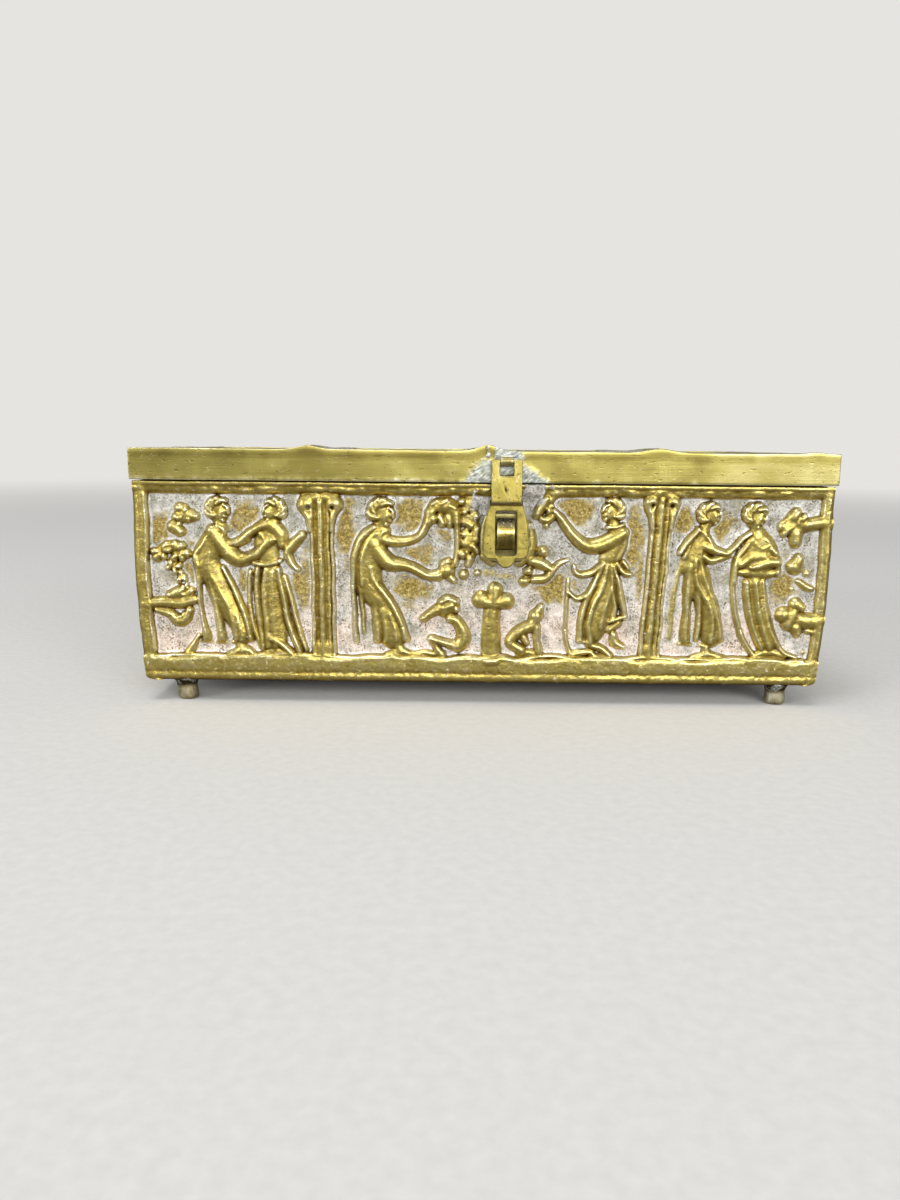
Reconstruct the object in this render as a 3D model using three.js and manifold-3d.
// Cast brass casket: four relief plaques, a floor, four feet, a hinged relief lid and a hasp.
// Millimetres, +Z up, front towards -Y. The origin is the bottom centre of the whole object's box.
import * as THREE from 'three';
import { mergeVertices } from 'three/addons/utils/BufferGeometryUtils.js';
import Module from 'manifold-3d';

const wasm = await Module();
wasm.setup();

// Casket body
const bodyHalfLength = 124.3;
const bodyDepth = 128;
const bodyHeight = 72.4;
const wallThickness = 5;
const fieldRecess = 2.8;
const endTuck = 1.9;
const bottomCornerRadius = 2;
const topRoll = 4;
const bottomRail = 9.5;
const sideBorder = 4.2;
const floorThickness = 2.2;

// Feet
const footHeight = 8;
const footTopRadius = 3.9;
const footTipRadius = 3.7;
const footEdge = 0.5;
const footFromEnd = 14.4;
const footInset = 5.4;

// Lid
const lidEndOverhang = 0.7;
const lidHalfLength = bodyHalfLength + lidEndOverhang;
const lidFrontOverhang = 1.2;
const lidGap = 0.5;
const rimHeight = 11;
const rimThickness = 2.6;
const lidFieldDrop = 2.2;
const lidPlaqueThickness = 4;
const lidBorder = 5;
const lidBandWidth = 7;
const lidBandRise = 1.6;

// Relief carving, shared by the walls and the lid
const reliefRise = 2.6;
const robeShare = 0.85;
const leafShare = 0.7;
const stemShare = 0.55;

// Hasp, its loop, staple and backplate: the pivot is above the body's top edge, and the rest hangs below it
const haspX = 7.9;
const haspPivotAboveBody = 8;
const haspPivotOffRim = 1.5;
const haspBarRadius = 0.6;
const haspBarInset = 0.6;
const haspUpperWidth = 10.8;
const haspUpperThickness = 1.4;
const haspUpperCorner = 0.7;
const haspTopMargin = 0.6;
const haspStepDrop = 14.7;
const haspLowerThickness = 1.5;
const haspNeckHeight = 1.6;
const haspNeckInset = 0.2;
const haspWallClearance = 0.3;
const haspRestAngle = 6.5;
const windowWidth = 4.9;
const windowDrop = 5.1;
const slotTopDrop = 17.4;
const slotBottomDrop = 32.8;
const slotCorner = 1.8;
const slotSideClearance = 0.6;
const loopSideClearance = 0.35;
const loopBoreClearance = 0.3;
const loopThickness = 0.6;
const loopTailHeight = 3;
const stapleWidth = 6.3;
const stapleHeight = 11.4;
const stapleTopBelowBody = 11.7;
const stapleReach = 4.6;
const stapleThickness = 1.4;
const backplateThickness = 0.9;
// Outlines as half width and drop: the hasp's lower plate below the pivot, the backplate below the body's top
const haspLowerOutline = [
  [5.7, 12.9], [5.8, 15.4], [6.7, 17.9], [7.5, 22.4], [7.95, 28.4], [8, 31], [7.5, 33.1], [6.5, 34],
  [3.3, 34], [2.9, 35.2], [2, 36.4], [0.9, 37.1],
];
const backplateOutline = [
  [5.5, 9.8], [7.4, 11.4], [8.5, 14.5], [8.8, 22], [8.6, 24.8], [7.4, 26.6], [5, 27.1],
];

// Hinges
const hingeX = 75;
const hingeLength = 24;
const knuckleRadius = 2.1;
const knuckleGap = 0.3;
const leafThickness = 1.2;
const leafBodyHeight = 20;
const leafLidHeight = 9.5;
const leafBossMargin = 1;
const hingeBehindBack = 0.3;
const pinRadius = 0.9;
const pinClearance = 0.3;
const pinEnd = 0.6;
const pinEdge = 0.3;
const heelAngle = 15;
const heelReach = 4.3;
const heelHalfThickness = 0.9;

// Faceting
const roundSides = 20;
const swellingSides = 8;
const swellingRings = 4;
const archSteps = 12;
const miterLimit = 1.6;
const limbTip = 0.8;
const hemTip = 0.15;
const bevelShare = 0.6;
const embed = 1.6;

// Planes worked out from the sizes above
const frontPlane = -bodyDepth / 2;
const backPlane = bodyDepth / 2;
const bodyBottom = footHeight;
const bodyTop = bodyBottom + bodyHeight;
const lidBottom = bodyTop + lidGap;
const lidTop = lidBottom + rimHeight;
const rimFrontPlane = frontPlane - lidFrontOverhang;
const haspPivotY = rimFrontPlane - haspPivotOffRim;
const haspPivotZ = bodyTop + haspPivotAboveBody;
const hingeY = backPlane + hingeBehindBack + knuckleRadius;
const hingeZ = bodyTop + lidGap / 2;

// A closed geometry as a solid for joining and cutting
function solid(geometry) {
  const bare = geometry.clone();
  bare.deleteAttribute('normal');
  bare.deleteAttribute('uv');
  const merged = mergeVertices(bare);
  return new wasm.Manifold(new wasm.Mesh({
    numProp: 3,
    vertProperties: new Float32Array(merged.attributes.position.array),
    triVerts: new Uint32Array(merged.index.array),
  }));
}

function geometryOf(manifold) {
  const mesh = manifold.getMesh();
  const geometry = new THREE.BufferGeometry();
  geometry.setAttribute('position', new THREE.BufferAttribute(new Float32Array(mesh.vertProperties), 3));
  geometry.setIndex(new THREE.BufferAttribute(new Uint32Array(mesh.triVerts), 1));
  geometry.computeVertexNormals();
  return geometry;
}

function join(solids) {
  return solids.reduce((sum, next) => sum.add(next));
}

function shapeOf(points) {
  return new THREE.Shape(points.map(([u, v]) => new THREE.Vector2(u, v)));
}

// A flat outline in (u, v), filling w from low to high
function slab(shape, low, high, curveSegments = 6) {
  const geometry = new THREE.ExtrudeGeometry(shape, { depth: high - low, bevelEnabled: false, curveSegments });
  return solid(geometry.translate(0, 0, low));
}

function block(u0, u1, v0, v1, w0, w1) {
  return slab(shapeOf([[u0, v0], [u1, v0], [u1, v1], [u0, v1]]), w0, w1);
}

function roundedRectangle(u0, u1, v0, v1, radius) {
  const shape = new THREE.Shape();
  shape.moveTo(u0 + radius, v0);
  shape.lineTo(u1 - radius, v0);
  shape.absarc(u1 - radius, v0 + radius, radius, -Math.PI / 2, 0);
  shape.lineTo(u1, v1 - radius);
  shape.absarc(u1 - radius, v1 - radius, radius, 0, Math.PI / 2);
  shape.lineTo(u0 + radius, v1);
  shape.absarc(u0 + radius, v1 - radius, radius, Math.PI / 2, Math.PI);
  shape.lineTo(u0, v0 + radius);
  shape.absarc(u0 + radius, v0 + radius, radius, Math.PI, Math.PI * 1.5);
  return shape;
}

// The carving is drawn in millimetres on sheets of these sizes, and stretched to fit the casket's own faces
const sheet = { halfLength: 124.3, height: 72.4, depth: 128, lidHalfLength: 125 };
const upWalls = bodyHeight / sheet.height;
const acrossEnds = bodyDepth / sheet.depth;
const longFace = { field: -fieldRecess, along: bodyHalfLength / sheet.halfLength, up: upWalls };
const endFace = { field: -fieldRecess, along: acrossEnds, up: upWalls };
const lidFace = { field: -lidFieldDrop, along: lidHalfLength / sheet.lidHalfLength, up: acrossEnds };

// A flattened round swelling: radii ru and rv on the face, rise above the field
function swelling(u, v, ru, rv, rise, face) {
  const geometry = new THREE.SphereGeometry(1, swellingSides, swellingRings);
  geometry.rotateX(Math.PI / 2);
  geometry.scale(ru * face.along, rv * face.up, rise);
  return solid(geometry.translate(u * face.along, v * face.up, face.field));
}

// A bevelled, tapering limb through [u, v, radius] points: its outline runs up one side of the chain and
// down the other at that radius, with a blunt tip at each end
function limbs(drawn, rise, face, tipShare = limbTip) {
  const last = drawn.length - 1;
  const points = drawn.map(([u, v, radius]) =>
    [u * face.along, v * face.up, radius * Math.min(face.along, face.up)]);
  const directions = points.slice(1).map(([u, v], i) => {
    const length = Math.hypot(u - points[i][0], v - points[i][1]);
    return [(u - points[i][0]) / length, (v - points[i][1]) / length];
  });
  const sides = points.map(([u, v, radius], i) => {
    const before = directions[Math.max(i - 1, 0)];
    const after = directions[Math.min(i, last - 1)];
    const across = [-(before[1] + after[1]), before[0] + after[0]];
    const size = Math.hypot(...across);
    const reach = radius * Math.min(2 / size, miterLimit) / size;
    return [[u + across[0] * reach, v + across[1] * reach], [u - across[0] * reach, v - across[1] * reach]];
  });
  const tip = ([u, v, radius], [du, dv]) => [u + du * radius * tipShare, v + dv * radius * tipShare];
  const outline = [
    tip(points[0], directions[0].map((d) => -d)),
    ...sides.map(([, right]) => right),
    tip(points[last], directions[last - 1]),
    ...sides.map(([left]) => left).reverse(),
  ];
  const bevel = Math.min(...points.map(([, , radius]) => radius)) * bevelShare;
  const geometry = new THREE.ExtrudeGeometry(shapeOf(outline), {
    depth: rise / 2 + embed, bevelEnabled: true, bevelSegments: 1, bevelThickness: rise / 2,
    bevelSize: bevel, bevelOffset: -bevel,
  });
  return solid(geometry.translate(0, 0, face.field - embed));
}

// The six robed figures of the front: a head, a body and robe, arms, and the thin hanging ends and the ground
// they stand on, as limbs on the face
const figures = {
  leaning: {
    head: [-94.6, 62.2, 4.9, 5],
    robe: [[-93.6, 57, 2.2], [-97.8, 50, 5], [-99, 42, 4.6], [-95.8, 30, 6.2], [-92.4, 16, 8.6]],
    arms: [
      [[-93.5, 52.8, 1.8], [-88.3, 49.9, 1.5], [-82, 53, 1.6]],
      [[-96, 54, 2.2], [-90, 46.2, 2.8], [-84, 45, 2.3], [-76.4, 51, 1.9]],
    ],
    ends: [[[-92.5, 9.8, 1.2], [-86.5, 11, 2], [-82.8, 9.8, 1.2]]],
  },
  belted: {
    head: [-74.6, 62.3, 4.8, 4.9],
    robe: [[-75.4, 57, 2.2], [-77, 51, 4.4], [-77.2, 44, 4.2], [-76.4, 30, 6.2], [-73.4, 13, 8.8]],
    arms: [
      [[-77.5, 56.6, 1.9], [-83.5, 54, 1.9], [-91, 50, 1.5]],
      [[-64.6, 53.6, 1.5], [-69.6, 47.4, 1.9], [-66.4, 41.2, 1.3]],
    ],
    ends: [[[-80.5, 9.8, 1.2], [-76, 11, 1.7], [-71, 9.8, 1.4]], [[-69.6, 34, 1], [-64.4, 12, 1.1]]],
  },
  stooping: {
    head: [-36.2, 62, 5.3, 5.5],
    robe: [[-36.6, 57, 2.4], [-40.6, 50, 5.8], [-41, 40, 5.6], [-37.4, 28, 6.6], [-34, 16, 7.8]],
    arms: [
      [[-37, 52.5, 2.4], [-30, 51.7, 1.9], [-22.5, 53.8, 1.7], [-19.3, 60.5, 1.6]],
      [[-38.6, 49.6, 3], [-33.5, 44, 2.8], [-25, 41.8, 2], [-18, 40.4, 2.1], [-14.4, 42, 2.9]],
    ],
    ends: [
      [[-45, 49, 1.4], [-46.3, 38, 1.3], [-45.7, 15, 1.3]],
      [[-34.5, 9.8, 1.2], [-29, 11, 1.7], [-24, 10.2, 1.3], [-16.5, 10.2, 1.1]],
    ],
  },
  offering: {
    head: [46.2, 63.4, 4.8, 4.9],
    robe: [[47, 58, 2.2], [48, 52, 4.4], [45.8, 45, 3.2], [44.8, 33, 5.8], [42, 19, 6.6]],
    arms: [
      [[49.4, 54.6, 2.4], [41.5, 50.9, 2.8], [35, 52, 2.3], [30, 57, 1.8], [25.4, 62.4, 1.5]],
      [[19.2, 61.8, 1.7], [22.8, 67, 1.9]],
    ],
    ends: [
      [[42.5, 43.7, 1.2], [37, 40.2, 1.2], [33.4, 42.6, 1.1]],
      [[48.5, 44.5, 1.1], [53.4, 40.4, 1]],
      [[47.2, 21, 1.4], [48.4, 15.8, 1.8], [52, 13.9, 1.3]],
      [[35.6, 16, 1.2], [43.5, 13.2, 1.4], [47, 10.4, 1.2]],
      [[31.3, 38, 1], [30.7, 22, 0.9], [32.6, 11, 1.1]],
      [[33.4, 10.8, 1.4], [41, 11, 1.4], [46, 9.6, 1.2]],
    ],
  },
  caped: {
    head: [80.8, 62.3, 4.7, 4.7],
    robe: [[79.2, 57.6, 2.2], [77, 51, 4.6], [75.4, 44, 4.4], [76.8, 30, 7], [78, 17, 9.4]],
    arms: [
      [[79.5, 51, 2], [83.6, 49.4, 1.8], [88.6, 49, 1.5], [92.2, 53.5, 1.4], [95.7, 56, 1.1]],
      [[80, 46.8, 1.5], [88.6, 47, 1.3]],
      [[77, 56.4, 1.4], [73.6, 52.8, 1.5], [71, 48.3, 1.2]],
    ],
    ends: [[[77, 9.8, 1.2], [83, 11.4, 2], [89, 9.8, 1.2]]],
  },
  folded: {
    head: [97.2, 62, 5, 5.1],
    robe: [[98.2, 57, 2.4], [98.8, 50, 6.2], [99, 42.5, 7], [98.8, 37, 4.6], [101.4, 25, 5.2], [106, 13, 5.8]],
    arms: [[[92.8, 45, 1.9], [98.4, 46.4, 2.8], [105.4, 45.6, 2.2]]],
    ends: [[[91.4, 38, 1], [92, 30, 1], [96.2, 15.5, 1], [99.6, 11, 1.1]], [[106, 11, 1.4], [115, 10.6, 1]]],
  },
};

// Ground line and top of the carved field on the drawing
const drawnGround = 9.5;
const drawnTop = 68;

// Columns: the middle of the foot and of the top, their shaft and their leafy capital
const columnHalfWidth = 3.6;
const columnCapRadius = 3.6;
const columnCapReach = 4.6;
const columnShaftEnd = 3;
const columnCapDrop = 3.4;
const columnBase = [5.8, 3];
const columns = {
  front: [[-57.4, -58.4], [61, 64]],
  back: [[-57.9, -57.9], [62.5, 62.5]],
};

// Trees: the middle and the height of the crown, over a trunk with three lobes
const treeFoot = 6.5;
const treeTrunk = [3.4, 3];
const treeNeck = 1;
const treeLobes = [[-4.1, 0, 3.2], [1, 3.6, 2.9], [5.1, -0.3, 3.1]];
const trees = { front: [3.7, 30.5], back: [-3, 36.5], left: [0, 32.5], right: [2, 28.5] };

// Leafy branches: the stem's points, its radius, and the radius of its lobes
const branches = {
  back: [[[[10, 56], [0, 60], [-10, 56]], 1.4, 3]],
  left: [
    [[[-50, 28], [-42, 27], [-38, 31]], 1.4, 2.6],
    [[[52, 58], [44, 60]], 1.2, 2.8],
  ],
  right: [
    [[[-52, 30], [-44, 30], [-41, 25]], 1.4, 2.6],
    [[[50, 58], [45, 56], [47, 48]], 1.2, 2.6],
  ],
};

// The front's plants as limbs: beside the left pair, beside the right pair, and on both sides of the hasp
const frontLeaves = [
  [[-109.4, 59.8, 2.2], [-105.6, 60.2, 2.7], [-102.6, 59.8, 1.6]],
  [[-110.8, 56.2, 2.4], [-108.2, 54.4, 2.2]],
  [[-116.6, 47, 2.2], [-112.4, 48.4, 3.4], [-107, 46.6, 2.6]],
  [[-110.4, 44, 2.2], [-109.8, 36.4, 1.8]],
  [[-122, 28.3, 2.1], [-110, 28.6, 2], [-103.6, 29.6, 1.6]],
  [[-113.4, 32, 2.2], [-105.6, 32.4, 2]],
  [[-118, 25.8, 1.6], [-113, 24, 2.2], [-109.4, 22, 2.2], [-106, 25.8, 1.7]],
  [[-107.5, 9.5, 1.8], [-103.4, 16.3, 1.1]],
  [[122.5, 58.6, 2.6], [115.4, 60, 1.8], [111, 60, 3.3], [106.8, 59.8, 1.9]],
  [[110.6, 65, 1.4], [110.8, 60, 2.2], [111.6, 54.6, 2]],
  [[112, 45.4, 2.6], [113.4, 50, 1.7]],
  [[113.8, 39.6, 1.2], [118.6, 36.8, 1.2]],
  [[122.5, 26, 2.9], [115.6, 26.4, 2.6], [109.8, 28.2, 2.6]],
  [[114.8, 32, 2.1], [112.4, 27, 2.6], [115, 21.4, 1.6]],
  [[16.6, 57.6, 1.7], [17.4, 52.5, 2.2], [16.4, 47.4, 2.1], [13.6, 44.4, 1.7]],
  [[0.6, 46.6, 1.7], [3.4, 44.4, 1.6]],
  [[17.6, 44.8, 2], [20.8, 44, 2.3], [24.4, 42.2, 1.6]],
  [[16.4, 41.4, 1.8], [15.4, 37.8, 1.9], [22.5, 38.6, 1.7], [27.8, 44, 1.5], [31, 45.4, 1.1]],
];

// The garland that the stooping figure holds up, and its thick knotted end
const garland = [
  [[-19.8, 57.4, 1.9], [-18.4, 62.4, 2.6], [-14.4, 63.4, 3.4], [-10.4, 60.8, 2.2], [-9.4, 54, 1.2], [-9.7, 43.6, 1.2]],
  [[-5.4, 65.4, 2.4], [-5, 60, 3.2], [-4.6, 52, 3.3], [-4.4, 46, 2.9], [-5.6, 42.4, 1.6]],
];

// The small kneeling figure and the dog between the front's middle figures
const kneeler = [
  [[-21.6, 22.8, 1.3], [-16, 27, 1.9], [-12.2, 28.5, 2.8], [-10, 28.6, 2.6]],
  [[-11, 24.2, 2.2], [-6.8, 18.4, 2.7], [-8, 13.4, 2.3]],
  [[-8, 13.6, 2], [-18, 16.2, 1.5]],
  [[-17, 15.4, 1.3], [-14.4, 10.4, 1.6]],
];
const dog = [
  [[20.2, 25.6, 2.2], [21.9, 28.4, 2.2], [24, 30, 1.2]],
  [[21.4, 24.4, 2], [20.4, 21.4, 2.5], [16.4, 20.4, 2.6], [12.2, 15.6, 2.2], [14, 12.4, 1.8]],
  [[21.3, 20, 1.7], [21.8, 14.5, 1.5], [23.5, 10.5, 1.6]],
  [[13, 11.2, 1.5], [18, 10.6, 1.2], [22, 10.4, 1.3]],
];

// Which figures stand on the back and the ends, and how far each is moved along
const backFigures = { offering: 0, caped: 0, folded: 0, stooping: -8, belted: 4, leaning: 4 };
const leftFigures = { caped: -103, folded: -72 };
const rightFigures = { leaning: 68, belted: 104 };

// The lid: its bands, its figures' size and foot, and each panel's middle, figures and their own middle
const lidBands = [-62, 0, 62];
const lidFigureScale = 1.2;
const lidFigureFoot = -68;
const lidPanels = [
  [-92.5, ['leaning', 'belted'], -84],
  [-31, ['stooping'], -29],
  [31, ['offering'], 38],
  [92.5, ['caped', 'folded'], 89],
];
const canopyPoints = [[-20, 30], [-9, 40], [9, 40], [20, 30]];
const canopySizes = [1.8, 4];
const canopyKnot = [42, 5];

// One figure, sized by scale, faced along the face by side (1 or -1) and moved by du and dv
function figure(name, face, { side = 1, scale = 1, du = 0, dv = 0 } = {}) {
  const at = ([u, v, ...radii]) => [side * scale * u + du, scale * v + dv, ...radii.map((r) => r * scale)];
  const { head, robe, arms, ends } = figures[name];
  const [headU, headV, headRu, headRv] = at(head);
  return join([
    swelling(headU, headV, headRu, headRv, reliefRise, face),
    limbs(robe.map(at), reliefRise * robeShare, face, hemTip),
    ...arms.map((arm) => limbs(arm.map(at), reliefRise, face)),
    ...ends.map((end) => limbs(end.map(at), reliefRise * leafShare, face)),
  ]);
}

// A leafy branch: a stem through the points, with a lobe at each end and bend
function branch([points, stem, lobe], face) {
  const lobes = points.map(([u, v]) => swelling(u, v, lobe, lobe * robeShare, reliefRise * leafShare, face));
  return join([limbs(points.map(([u, v]) => [u, v, stem]), reliefRise * stemShare, face), ...lobes]);
}

function column([footU, topU], face) {
  return join([
    limbs([[footU, drawnGround, columnHalfWidth], [topU, drawnTop - columnShaftEnd, columnHalfWidth]],
      reliefRise, face),
    ...[-1, 1].map((side) => swelling(topU + side * columnCapReach, drawnTop - columnCapDrop,
      columnCapRadius, columnCapRadius, reliefRise, face)),
    swelling(footU, drawnGround, ...columnBase, reliefRise, face),
  ]);
}

function tree([u, crown], face) {
  const [foot, neck] = treeTrunk;
  return join([
    limbs([[u, treeFoot, foot], [u, crown - treeNeck, neck]], reliefRise, face),
    ...treeLobes.map(([du, dv, r]) => swelling(u + du, crown + dv, r, r, reliefRise, face)),
  ]);
}

// Inward drop of the body's ends at a height above its bottom edge
function tuck(v) {
  return endTuck * (1 - v / bodyHeight) ** 3;
}

const tuckHeights = [0, 1, 2, 3, 4, 5, 6].map((step) => bottomCornerRadius + step / 6 * (bodyHeight - bottomCornerRadius));

// The outline of the front and back plaques: straight above, tucked in below, with round lower corners
function longWallOutline() {
  const side = tuckHeights.map((v) => [bodyHalfLength - tuck(v), v]);
  const foot = side[0][0];
  const corner = [0, 1, 2, 3].map((step) => {
    const angle = -Math.PI / 2 + step / 4 * Math.PI / 2;
    return [
      foot - bottomCornerRadius + bottomCornerRadius * Math.cos(angle),
      bottomCornerRadius + bottomCornerRadius * Math.sin(angle),
    ];
  });
  const right = [...corner, ...side];
  const left = [...right].reverse().map(([u, v]) => [-u, v]);
  return shapeOf([...right, ...left]);
}

const fieldLow = bottomRail;
const fieldHigh = bodyHeight - topRoll;
const longFieldHalf = bodyHalfLength - sideBorder;

// A long plaque in its own (u, v, w): a border at w = 0 around a recessed field, with its relief
function longWall(relief) {
  const whole = slab(longWallOutline(), -wallThickness, 0);
  const field = block(-longFieldHalf, longFieldHalf, fieldLow, fieldHigh, -fieldRecess, wallThickness);
  const limit = block(-bodyHalfLength, bodyHalfLength, 0, fieldHigh + topRoll / 2, -wallThickness + 0.5, 0);
  return whole.subtract(field).add(join(relief).intersect(limit));
}

// The full outline of rows of half width and drop, hung from a height
function hungOutline(rows, top) {
  const right = rows.map(([half, drop]) => [half, top - drop]);
  return shapeOf([...right, ...[...right].reverse().map(([u, v]) => [-u, v])]);
}

// The wall is raised to its front plane behind the backplate
const haspBoss = slab(hungOutline(backplateOutline, bodyHeight), -fieldRecess, 0).translate([haspX, 0, 0]);

const frontRelief = [
  ...Object.keys(figures).map((name) => figure(name, longFace)),
  ...columns.front.map((ends) => column(ends, longFace)),
  tree(trees.front, longFace),
  ...frontLeaves.map((points) => limbs(points, reliefRise * leafShare, longFace)),
  ...[...garland, ...kneeler, ...dog].map((points) => limbs(points, reliefRise * robeShare, longFace)),
  haspBoss,
];

const leafBossHalf = hingeLength / 2 + leafBossMargin;
const backRelief = [
  ...Object.entries(backFigures).map(([name, du]) => figure(name, longFace, { side: -1, du })),
  ...columns.back.map((ends) => column(ends, longFace)),
  tree(trees.back, longFace),
  ...branches.back.map((stem) => branch(stem, longFace)),
  ...[-1, 1].map((side) => block(side * hingeX - leafBossHalf, side * hingeX + leafBossHalf,
    bodyHeight - leafBodyHeight - leafBossMargin, fieldHigh + leafBossMargin, -fieldRecess, 0)),
];

// An end plaque: the profile across the wall, carried along between the front and back plaques
const endHalf = bodyDepth / 2 - wallThickness;

function endWall(relief) {
  const face = [0, ...tuckHeights].map((v) => [-tuck(v), v]);
  const across = (points) => {
    const profile = new THREE.ExtrudeGeometry(shapeOf(points), { depth: 2 * endHalf, bevelEnabled: false });
    const turn = new THREE.Matrix4().makeBasis(
      new THREE.Vector3(0, 0, 1), new THREE.Vector3(0, 1, 0), new THREE.Vector3(-1, 0, 0));
    return solid(profile.applyMatrix4(turn).translate(endHalf, 0, 0));
  };
  const whole = across([...face, [-wallThickness, bodyHeight], [-wallThickness, 0]]);
  const cut = across([
    ...face.map(([w, v]) => [w - fieldRecess, v]), [wallThickness, bodyHeight], [wallThickness, 0],
  ]);
  const opening = block(-endHalf + sideBorder, endHalf - sideBorder, fieldLow, fieldHigh,
    -2 * wallThickness, 2 * wallThickness);
  const limit = across([...face, [-wallThickness + 0.6, bodyHeight], [-wallThickness + 0.6, 0]]);
  return whole.subtract(cut.intersect(opening)).add(join(relief).intersect(limit));
}

const leftEndRelief = [
  ...Object.entries(leftFigures).map(([name, du]) => figure(name, endFace, { du })),
  tree(trees.left, endFace),
  ...branches.left.map((stem) => branch(stem, endFace)),
];

const rightEndRelief = [
  ...Object.entries(rightFigures).map(([name, du]) => figure(name, endFace, { du })),
  tree(trees.right, endFace),
  ...branches.right.map((stem) => branch(stem, endFace)),
];

// The lid's relief plate lies between the rims, in its own (u, v, w) with w = 0 at the rims' top
const plaqueHalfLength = lidHalfLength - rimThickness;
const plaqueFront = rimFrontPlane + rimThickness;
const plaqueBack = backPlane - rimThickness;
const plaqueMiddle = (plaqueFront + plaqueBack) / 2;
const plaqueHalfDepth = (plaqueBack - plaqueFront) / 2;
const rimMargin = 0.8;

function lidPlaque() {
  const whole = block(-plaqueHalfLength, plaqueHalfLength, -plaqueHalfDepth, plaqueHalfDepth,
    -lidPlaqueThickness, 0);
  const cut = block(-plaqueHalfLength + lidBorder, plaqueHalfLength - lidBorder,
    -plaqueHalfDepth + lidBorder, plaqueHalfDepth - lidBorder, -lidFieldDrop, lidPlaqueThickness);
  const bands = lidBands.map((u) => {
    const geometry = new THREE.CylinderGeometry(1, 1, 2 * (plaqueHalfDepth - rimMargin), roundSides);
    geometry.scale(lidBandWidth / 2, 1, lidBandRise + lidFieldDrop);
    return solid(geometry.translate(u * lidFace.along, 0, -lidFieldDrop));
  });
  const relief = lidPanels.flatMap(([middle, names, namesMiddle]) => names.map((name) =>
    figure(name, lidFace, { scale: lidFigureScale, du: middle - lidFigureScale * namesMiddle, dv: lidFigureFoot })));
  const [knotHeight, knotRadius] = canopyKnot;
  const canopies = lidPanels.map(([middle]) => join([
    branch([canopyPoints.map(([u, v]) => [middle + u, v]), ...canopySizes], lidFace),
    swelling(middle, knotHeight, knotRadius, knotRadius, reliefRise, lidFace),
  ]));
  const inside = block(-plaqueHalfLength + rimMargin, plaqueHalfLength - rimMargin,
    -plaqueHalfDepth + rimMargin, plaqueHalfDepth - rimMargin, -lidPlaqueThickness + rimMargin, lidPlaqueThickness);
  return whole.subtract(cut).add(join([...bands, ...relief, ...canopies]).intersect(inside));
}

// A round rod or ring along X, about a point given as (y, z)
function rod(radius, x0, x1, y, z, sides = roundSides) {
  const geometry = new THREE.CylinderGeometry(radius, radius, x1 - x0, sides);
  geometry.rotateZ(-Math.PI / 2);
  return solid(geometry.translate((x0 + x1) / 2, y, z));
}

// An outline in (y, z), filling x0 to x1
function sideSlab(points, x0, x1) {
  const geometry = new THREE.ExtrudeGeometry(shapeOf(points), { depth: x1 - x0, bevelEnabled: false });
  const turn = new THREE.Matrix4().makeBasis(
    new THREE.Vector3(0, 1, 0), new THREE.Vector3(0, 0, 1), new THREE.Vector3(1, 0, 0));
  return solid(geometry.applyMatrix4(turn).translate(x0, 0, 0));
}

function boxAt(x0, x1, y0, y1, z0, z1) {
  return sideSlab([[y0, z0], [y1, z0], [y1, z1], [y0, z1]], x0, x1);
}

// The arched strip that a padlock goes through, standing on the backplate
function stapleSolid() {
  const base = frontPlane - backplateThickness;
  const middle = bodyTop - stapleTopBelowBody - stapleHeight / 2;
  const arch = (halfHeight, reach) => [...Array(archSteps + 1).keys()].map((step) => {
    const angle = step / archSteps * Math.PI;
    return [base - reach * Math.sin(angle), middle + halfHeight * Math.cos(angle)];
  });
  const outer = arch(stapleHeight / 2, stapleReach);
  const inner = arch(stapleHeight / 2 - stapleThickness, stapleReach - stapleThickness);
  return sideSlab([...outer, ...inner.reverse()], haspX - stapleWidth / 2, haspX + stapleWidth / 2);
}

function backplateSolid() {
  return slab(hungOutline(backplateOutline, bodyTop), 0, backplateThickness).translate([haspX, 0, 0]);
}

// The hasp as it lies closed, in x, y out of the pivot plane, and z above the pivot
const slotHalfWidth = stapleWidth / 2 + slotSideClearance;
const cutReach = 6;

function haspSolid() {
  const upper = roundedRectangle(-haspUpperWidth / 2, haspUpperWidth / 2, -haspStepDrop, haspTopMargin,
    haspUpperCorner);
  const slot = roundedRectangle(-slotHalfWidth, slotHalfWidth, -slotBottomDrop, -slotTopDrop, slotCorner);
  const stand = (piece) => piece.rotate([90, 0, 0]);
  const home = haspPivotOffRim + lidFrontOverhang;
  const lowerBack = home - backplateThickness - haspWallClearance;
  const plate = stand(slab(upper, -haspUpperThickness / 2, haspUpperThickness / 2));
  const tongue = stand(slab(hungOutline(haspLowerOutline, 0), -lowerBack, -lowerBack + haspLowerThickness));
  const slotCut = stand(slab(slot, -cutReach, cutReach));
  const windowCut = boxAt(-windowWidth / 2, windowWidth / 2, -cutReach, cutReach, -windowDrop, cutReach);
  const barHalf = haspUpperWidth / 2 - haspBarInset;
  const neckHalf = haspUpperWidth / 2 - haspNeckInset;
  const neck = boxAt(-neckHalf, neckHalf, -haspUpperThickness / 2, lowerBack,
    -haspStepDrop + haspNeckInset, -haspStepDrop + haspNeckHeight);
  return plate.add(tongue).add(neck).subtract(slotCut).subtract(windowCut)
    .add(rod(haspBarRadius, -barHalf, barHalf, 0, 0));
}

// The bent strip soldered to the rim, round the hasp's top bar
const loopHalfWidth = windowWidth / 2 - loopSideClearance;

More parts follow.
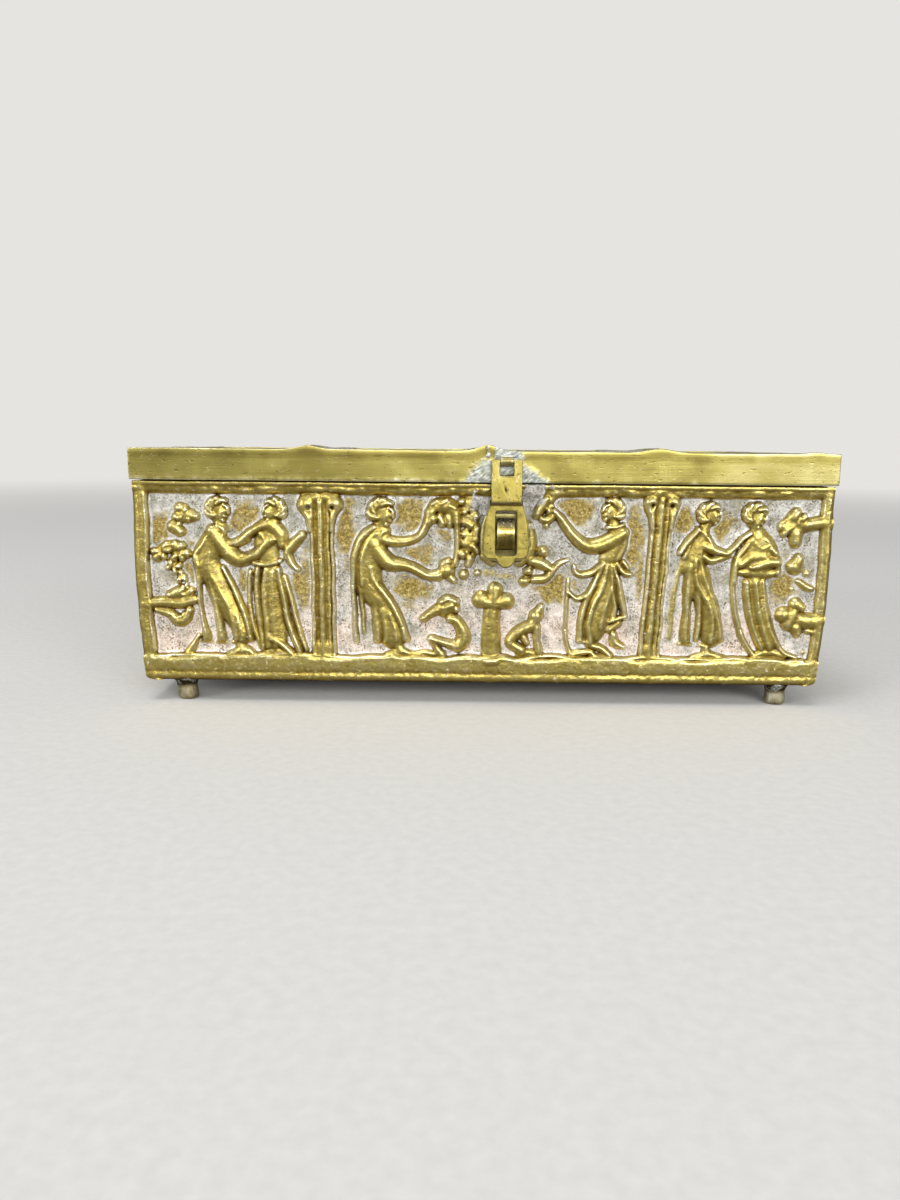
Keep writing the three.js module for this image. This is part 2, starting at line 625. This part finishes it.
function loopSolid() {
  const bore = haspBarRadius + loopBoreClearance;
  const outer = bore + loopThickness;
  const ring = rod(outer, haspX - loopHalfWidth, haspX + loopHalfWidth, haspPivotY, haspPivotZ)
    .add(boxAt(haspX - loopHalfWidth, haspX + loopHalfWidth, rimFrontPlane - loopThickness, rimFrontPlane,
      haspPivotZ, haspPivotZ + loopTailHeight));
  const behind = boxAt(haspX - cutReach, haspX + cutReach, rimFrontPlane, rimFrontPlane + cutReach,
    haspPivotZ - cutReach, haspPivotZ + cutReach);
  return ring.subtract(rod(bore, haspX - cutReach, haspX + cutReach, haspPivotY, haspPivotZ)).subtract(behind);
}

// Hinges: two knuckles on the body leaf, one on the lid leaf between them, and a heel that stops the lid
const middleHalf = hingeLength / 6;
const bore = pinRadius + pinClearance;

function bodyLeaf(x) {
  const x0 = x - hingeLength / 2;
  const x1 = x + hingeLength / 2;
  const plate = boxAt(x0, x1, backPlane, backPlane + leafThickness, bodyTop - leafBodyHeight, hingeZ);
  const notch = boxAt(x - middleHalf - knuckleGap, x + middleHalf + knuckleGap, backPlane - cutReach,
    backPlane + cutReach, hingeZ - knuckleRadius - knuckleGap, hingeZ + cutReach);
  const knuckles = rod(knuckleRadius, x0, x - middleHalf - knuckleGap, hingeY, hingeZ)
    .add(rod(knuckleRadius, x + middleHalf + knuckleGap, x1, hingeY, hingeZ));
  const hole = rod(bore, x0 - cutReach, x1 + cutReach, hingeY, hingeZ);
  return plate.subtract(notch).add(knuckles).subtract(hole);
}

function lidLeaf(x) {
  const x0 = x - hingeLength / 2;
  const x1 = x + hingeLength / 2;
  const plate = boxAt(x0, x1, backPlane, backPlane + leafThickness,
    hingeZ + knuckleRadius + knuckleGap, hingeZ + leafLidHeight);
  const neck = boxAt(x - middleHalf, x + middleHalf, backPlane, backPlane + leafThickness,
    lidBottom, hingeZ + leafLidHeight);
  const knuckle = rod(knuckleRadius, x - middleHalf, x + middleHalf, hingeY, hingeZ);
  const heel = boxAt(x - middleHalf, x + middleHalf, 0, heelReach, -heelHalfThickness, heelHalfThickness)
    .rotate([heelAngle, 0, 0]).translate([0, hingeY, hingeZ]);
  const hole = rod(bore, x - hingeLength, x + hingeLength, hingeY, hingeZ);
  return plate.add(neck).add(knuckle).add(heel).subtract(hole);
}

// A solid turned on a line: profile points are [radius, height], carried to stand along the given axis
function turned(points, sides = roundSides) {
  const geometry = new THREE.LatheGeometry(points.map(([r, h]) => new THREE.Vector2(r, h)), sides);
  return geometry.rotateX(Math.PI / 2);
}

function footGeometry() {
  return turned([[0, 0], [footTipRadius - footEdge, 0], [footTipRadius, footEdge],
    [footTopRadius, footHeight - footEdge], [footTopRadius, footHeight], [0, footHeight]]);
}

function pinGeometry() {
  const half = hingeLength / 2 + pinEnd;
  const geometry = turned([[0, -half], [pinRadius - pinEdge, -half], [pinRadius, -half + pinEdge],
    [pinRadius, half - pinEdge], [pinRadius - pinEdge, half], [0, half]]);
  return geometry.rotateY(Math.PI / 2);
}

// Materials
const brassCast = { color: '#a8923c', roughness: 0.5, metalness: 0.9 };
const brassSheet = { color: '#b3a04c', roughness: 0.38, metalness: 0.95 };
const brassDull = { color: '#8c8262', roughness: 0.6, metalness: 0.8 };

const group = new THREE.Group();

function place(name, geometry, look, position = [0, 0, 0], matrix = null) {
  const mesh = new THREE.Mesh(geometry, new THREE.MeshStandardMaterial(look));
  mesh.name = name;
  if (matrix) {
    mesh.applyMatrix4(matrix);
  }
  mesh.position.add(new THREE.Vector3(...position));
  group.add(mesh);
  return mesh;
}

// The turn that lays a face's own u, v and outward w along three directions
function facing(u, v, w) {
  return new THREE.Matrix4().makeBasis(new THREE.Vector3(...u), new THREE.Vector3(...v), new THREE.Vector3(...w));
}

const front = facing([1, 0, 0], [0, 0, 1], [0, -1, 0]);
const back = facing([-1, 0, 0], [0, 0, 1], [0, 1, 0]);
const left = facing([0, -1, 0], [0, 0, 1], [-1, 0, 0]);
const right = facing([0, 1, 0], [0, 0, 1], [1, 0, 0]);

place('front_wall', geometryOf(longWall(frontRelief)), brassCast, [0, frontPlane, bodyBottom], front);
place('back_wall', geometryOf(longWall(backRelief)), brassCast, [0, backPlane, bodyBottom], back);
place('left_wall', geometryOf(endWall(leftEndRelief)), brassCast, [-bodyHalfLength, 0, bodyBottom], left);
place('right_wall', geometryOf(endWall(rightEndRelief)), brassCast, [bodyHalfLength, 0, bodyBottom], right);

const insideHalfLength = bodyHalfLength - wallThickness;
place('floor_plate', geometryOf(boxAt(-insideHalfLength, insideHalfLength, -endHalf, endHalf,
  bodyBottom, bodyBottom + floorThickness)), brassDull);

for (const [sideX, nameX] of [[-1, 'left'], [1, 'right']]) {
  for (const [sideY, nameY] of [[-1, 'front'], [1, 'back']]) {
    place(`foot_${nameY}_${nameX}`, footGeometry(), brassDull,
      [sideX * (bodyHalfLength - footFromEnd), sideY * (bodyDepth / 2 - footInset), 0]);
  }
}

place('hasp_backplate', geometryOf(backplateSolid()), brassSheet, [0, frontPlane, 0], front);
place('padlock_staple', geometryOf(stapleSolid()), brassSheet);

place('lid_plaque', geometryOf(lidPlaque()), brassCast, [0, plaqueMiddle, lidTop]);
place('lid_front_rim', geometryOf(boxAt(-lidHalfLength, lidHalfLength, rimFrontPlane, plaqueFront,
  lidBottom, lidTop)), brassSheet);
place('lid_back_rim', geometryOf(boxAt(-lidHalfLength, lidHalfLength, plaqueBack, backPlane,
  lidBottom, lidTop)), brassSheet);
place('lid_left_rim', geometryOf(boxAt(-lidHalfLength, -plaqueHalfLength, plaqueFront, plaqueBack,
  lidBottom, lidTop)), brassSheet);
place('lid_right_rim', geometryOf(boxAt(plaqueHalfLength, lidHalfLength, plaqueFront, plaqueBack,
  lidBottom, lidTop)), brassSheet);

for (const [side, name] of [[-1, 'left'], [1, 'right']]) {
  place(`hinge_body_leaf_${name}`, geometryOf(bodyLeaf(side * hingeX)), brassSheet);
  place(`hinge_lid_leaf_${name}`, geometryOf(lidLeaf(side * hingeX)), brassSheet);
  place(`hinge_pin_${name}`, pinGeometry(), brassDull, [side * hingeX, hingeY, hingeZ]);
}

place('hasp_loop', geometryOf(loopSolid()), brassSheet);

// The hasp rests swung a little out from the staple, as it hangs when no lock holds it
const hasp = place('hasp', geometryOf(haspSolid()), brassSheet, [haspX, haspPivotY, haspPivotZ]);
hasp.rotation.x = -THREE.MathUtils.degToRad(haspRestAngle);

// The whole is moved so that its origin is the bottom centre of its box
group.updateMatrixWorld(true);
const box = new THREE.Box3().setFromObject(group, true);
group.position.y = -(box.min.y + box.max.y) / 2;

export default group;
